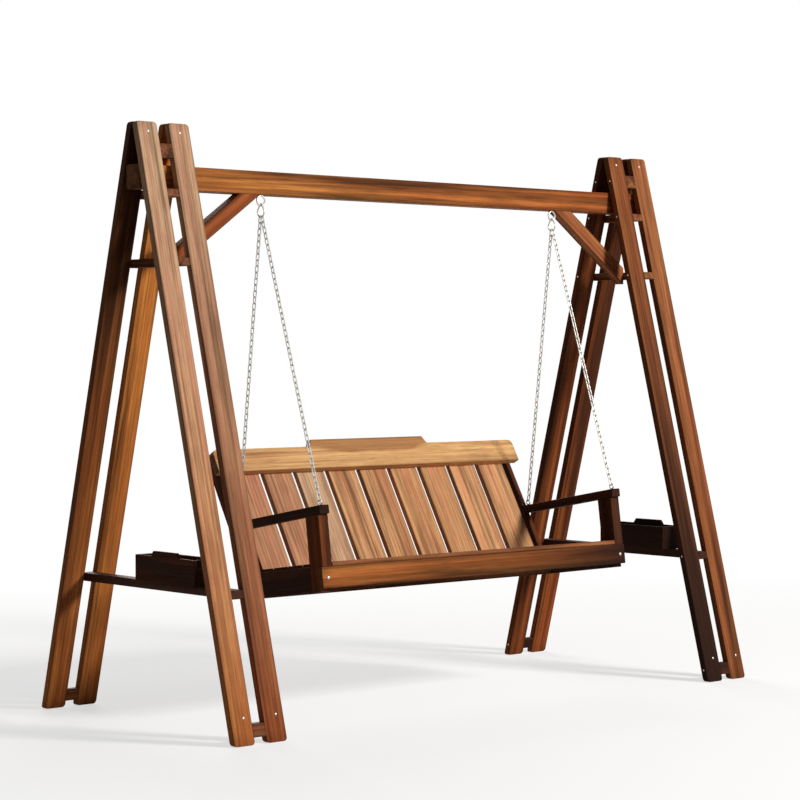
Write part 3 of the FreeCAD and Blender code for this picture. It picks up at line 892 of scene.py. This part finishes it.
# %% Swivel rings and eye bolts
hinge = Vector(frame["joints"][0]["pos_m"])
ring_low, ring_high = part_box("right_swivel_ring")
hang_x = (ring_low[0] + ring_high[0]) / 2
swivel_wire = 0.005
swivel_bow = 0.018
swivel_length = 0.022
swivel_top = 0.0061
swivel_taper = math.asin((swivel_bow - swivel_top) / swivel_length)
eye_radius = 0.017
eye_wire = 0.006
eye_shank = 0.006
shank_lead = 0.003
beam_thread = 0.03
thread_pitch = 0.00125
thread_root = 0.88
thread_last = 0.86
thread_tip = 0.7
shank_start = 0.4
up = Vector((0, 0, 1))
ahead = Vector((0, 1, 0))
aside = Vector((1, 0, 0))


def threaded(radius, start_height, end_height):
    """Profile of a screw thread as a row of ridges, with a blunt end."""
    profile = []
    height = start_height
    while height + thread_pitch < end_height:
        profile += [(radius * thread_root, height), (radius, height + thread_pitch / 2)]
        height += thread_pitch
    return profile + [(radius * thread_last, height), (radius * thread_tip, end_height)]


for side, way in (("left", -1), ("right", 1)):
    pivot = Vector((way * hang_x, hinge.y, hinge.z))
    wide = pivot - up * swivel_length
    half_bow = quarter + swivel_taper
    half_top = quarter - swivel_taper
    forge = Forge()
    line = arc(wide, -up, ahead, swivel_bow, -half_bow, half_bow, steps=28)
    line += arc(pivot, up, ahead, swivel_top, half_top, -half_top, steps=14)
    forge.closed_wire(line, aside, swivel_wire / 2, sides=12)
    forge.piece(f"{side}_pear_ring", "swing", [f"{side}_swivel_ring"])

    eye = pivot + up * eye_radius
    circle = arc(eye, up, aside, eye_radius, 0, 4 * quarter, steps=40)[:-1]
    bolt_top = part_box(f"{side}_beam_eye_bolt")[1][2]
    shank_foot = eye + up * (eye_radius - eye_wire / 3)
    shank_length = bolt_top - shank_foot.z
    plain_length = shank_length - beam_thread
    shank = [(eye_shank * shank_start, 0), (eye_shank / 2, shank_lead)]
    shank.append((eye_shank / 2, plain_length))
    shank += threaded(eye_shank / 2, plain_length, shank_length)
    forge = Forge()
    forge.closed_wire(circle, ahead, eye_wire / 2, sides=12)
    forge.turned(shank, shank_foot, up, sides=20)
    forge.piece(f"{side}_eye_bolt", "stand", [f"{side}_beam_eye_bolt"])
print("hinge line at height", round(hinge.z, 4), "m")

# %% [markdown]
# ## Eyes on the arms, nuts and washers
# Each chain ends in a small eye that is screwed down into the arm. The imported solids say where
# they stand and how they lean, so the smooth ones are built on the same axes. A nut is turned with
# six flats, and its corners are chamfered, which is what catches the light on a real one.

# %% Arm eyes, nuts and washers
arm_eye_radius = 0.009
arm_eye_wire = 0.005
arm_eye_shank = 0.006
arm_thread = 0.014
arm_shank_overlap = 0.8
arm_lean = math.radians(10.3)
arm_up = Vector((0, math.sin(arm_lean), math.cos(arm_lean)))
foot_layer = 0.0005
nut_sides = 24
nut_chamfer = 0.14
nut_face = 0.86
washer_corner = 0.010 / math.sqrt(2)
washer_rim = 0.3


def solid_spans(node, axis):
    """For each solid of a node, the point of its axis at its lower end and its length."""
    shape = clean_copy(node)
    spans = []
    for solid in islands(shape):
        heights = [vertex.co.dot(axis) for vertex in solid]
        low, high = min(heights), max(heights)
        foot = [v.co for v, height in zip(solid, heights) if height < low + foot_layer]
        spans.append((sum(foot, Vector()) / len(foot), high - low))
    shape.free()
    return spans


def six_flats(step):
    """Radius of a hexagon against its corner, for a solid turned with many sides."""
    angle = 2 * math.pi * step / nut_sides
    return math.cos(math.pi / 6) / math.cos(angle % (math.pi / 3) - math.pi / 6)


forge = Forge()
for tip, length in solid_spans("arm_eyes", arm_up):
    ring = tip + arm_up * (length - arm_eye_radius - arm_eye_wire / 2)
    circle = arc(ring, arm_up, arm_up.cross(aside), arm_eye_radius, 0, 4 * quarter, steps=28)[:-1]
    forge.closed_wire(circle, aside, arm_eye_wire / 2, sides=10)
    shank_length = length - 2 * arm_eye_radius - arm_eye_wire * arm_shank_overlap
    thread = threaded(arm_eye_shank / 2, 0, arm_thread)
    shank = [(radius, arm_thread - height) for radius, height in reversed(thread)]
    forge.turned(shank + [(arm_eye_shank / 2, shank_length)], tip, arm_up, sides=16)
forge.piece("arm_eye_bolts", "swing", ["arm_eyes"])

forge = Forge()
for foot, height in solid_spans("beam_nuts", up):
    chamfer = height * nut_chamfer
    flat_end = eye_shank * nut_face
    profile = [(flat_end, 0), (eye_shank, chamfer),
               (eye_shank, height - chamfer), (flat_end, height)]
    forge.turned(profile, foot, up, nut_sides, six_flats)
forge.piece("eye_bolt_nuts", "stand", ["beam_nuts"], smooth_angle=25)

forge = Forge()
for foot, height in solid_spans("beam_washers", up):
    rim = height * washer_rim
    profile = [(washer_corner, 0), (washer_corner, height - rim), (washer_corner - rim, height)]
    forge.turned(profile, foot, up, sides=4)
forge.piece("eye_bolt_washers", "stand", ["beam_washers"], smooth_angle=25)
print("arm eyes, nuts and washers made")

# %% [markdown]
# ## Screws and bolts of the stand
# The boards are held by bright round-headed screws and bolts. They are too small for the packed
# model, so they are made here: a low dome with a socket in it, its rim a little inside the wood.
# They could be spread by hand, but their places follow from the boards that they hold, so that
# each sits on a real face.

# %% Stand screws
screw_foot = 0.0012
screw_lip = 0.0001
screw_rim = 0.94
screw_sides = 18
screw_dome = ((0.97, 0.2), (0.82, 0.4), (0.5, 0.52), (0.34, 0.53), (0.32, 0.18))
screw_smooth = 35
leg_cut = 0.0259
leg_height = 2.0
leg_screws = ((1.968, 0.0), (0.085, 0.01))
leg_screw_width = 0.0095
tie_bolt_heights = (1.904, 1.764, 1.536, 0.464, 0.043)
tie_bolt_inset = 0.0129
tie_bolt_width = 0.0075
leg_low, leg_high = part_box("left_outer_front_leg")
lean = math.atan2(leg_high[1] - leg_low[1] - leg_cut, leg_height)


def screw_head(forge, place, out, width):
    """A round head with a socket, its foot just under the surface."""
    radius = width / 2
    profile = [(radius * screw_rim, -screw_foot), (radius, screw_lip)]
    profile += [(radius * across, radius * height) for across, height in screw_dome]
    forge.turned(profile, Vector(place), Vector(out), screw_sides)


forge = Forge()
for node in leg_looks:
    low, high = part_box(node)
    front = "front" in node
    way = -1 if front else 1
    x = (low[0] + high[0]) / 2
    foot_y = low[1] if front else high[1]
    out = Vector((0, way * math.cos(lean), math.sin(lean)))
    for height, shift in leg_screws:
        y = foot_y - way * height * math.tan(lean)
        screw_head(forge, (x + shift, y, height), out, leg_screw_width)
forge.piece("leg_screws", "stand", smooth_angle=screw_smooth)

forge = Forge()
for side, way in (("left", 1), ("right", -1)):
    for end, turn in (("front", -1), ("rear", 1)):
        low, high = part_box(f"{side}_inner_{end}_leg")
        x = (high[0] if way > 0 else low[0]) - way * screw_foot
        foot_y = low[1] if turn < 0 else high[1]
        for height in tie_bolt_heights:
            y = foot_y - turn * (height * math.tan(lean) + tie_bolt_inset)
            screw_head(forge, (x, y, height), (way, 0, 0), tie_bolt_width)
forge.piece("tie_bolts", "stand", smooth_angle=screw_smooth)
print("stand screws placed, lean", round(math.degrees(lean), 2), "degrees")

# %% [markdown]
# ## Screws and bolts of the bench
# The bench has bolts through the ends of its front rail, countersunk screws in the seat boards
# above the rails and joists, and screws through the slats into the rails behind and before them.
# The boards are tilted, so their faces could be worked out from angles. Casting a ray at the
# packed board from outside finds the same point without any.

# %% Bench screws
rail_bolt_width = 0.012
board_screw_width = 0.008
joist_x = 0.24
least_from_end = 0.02
slat_screw_low = 0.045
slat_screw_high = 0.04
slat_screw_shift = 0.03


def surface_point(node, start, direction):
    """Where a line from a point first meets a node, with the outward direction there."""
    shape = bmesh.new()
    shape.from_mesh(frame["nodes"][node].data)
    hit = BVHTree.FromBMesh(shape).ray_cast(Vector(start), Vector(direction).normalized())
    shape.free()
    return hit[:2]


def countersunk_screw(forge, node, start, direction):
    """A small screw, sunk in the face that a line from a point meets."""
    place, out = surface_point(node, start, direction)
    if place:
        screw_head(forge, place - out * screw_foot, out, board_screw_width)


forge = Forge()
rail_low, rail_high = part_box("seat_front_rail")
rail_z = (rail_low[2] + rail_high[2]) / 2
for x in (-hang_x, hang_x):
    place, out = surface_point("seat_front_rail", (x, -1, rail_z), (0, 1, 0))
    screw_head(forge, place, out, rail_bolt_width)
for number in range(1, len(board_tones) + 1):
    node = f"seat_board_{number}"
    low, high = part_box(node)
    for x in (-hang_x, -joist_x, joist_x, hang_x):
        x = min(max(x, low[0] + least_from_end), high[0] - least_from_end)
        countersunk_screw(forge, node, (x, (low[1] + high[1]) / 2, 1), (0, 0, -1))
slat_low, slat_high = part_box("back_slats")
shape = clean_copy("back_slats")
slat_middles = [sum(vertex.co.x for vertex in slat) / len(slat) for slat in islands(shape)]
shape.free()
for middle in slat_middles:
    for height in (slat_low[2] + slat_screw_low, slat_high[2] - slat_screw_high):
        for shift in (-slat_screw_shift, slat_screw_shift):
            countersunk_screw(forge, "back_slats", (middle + shift, 1, height), (0, -1, 0))
forge.piece("bench_screws", "swing", smooth_angle=screw_smooth)
print("bench screws placed on", len(slat_middles), "slats and", len(board_tones), "seat boards")
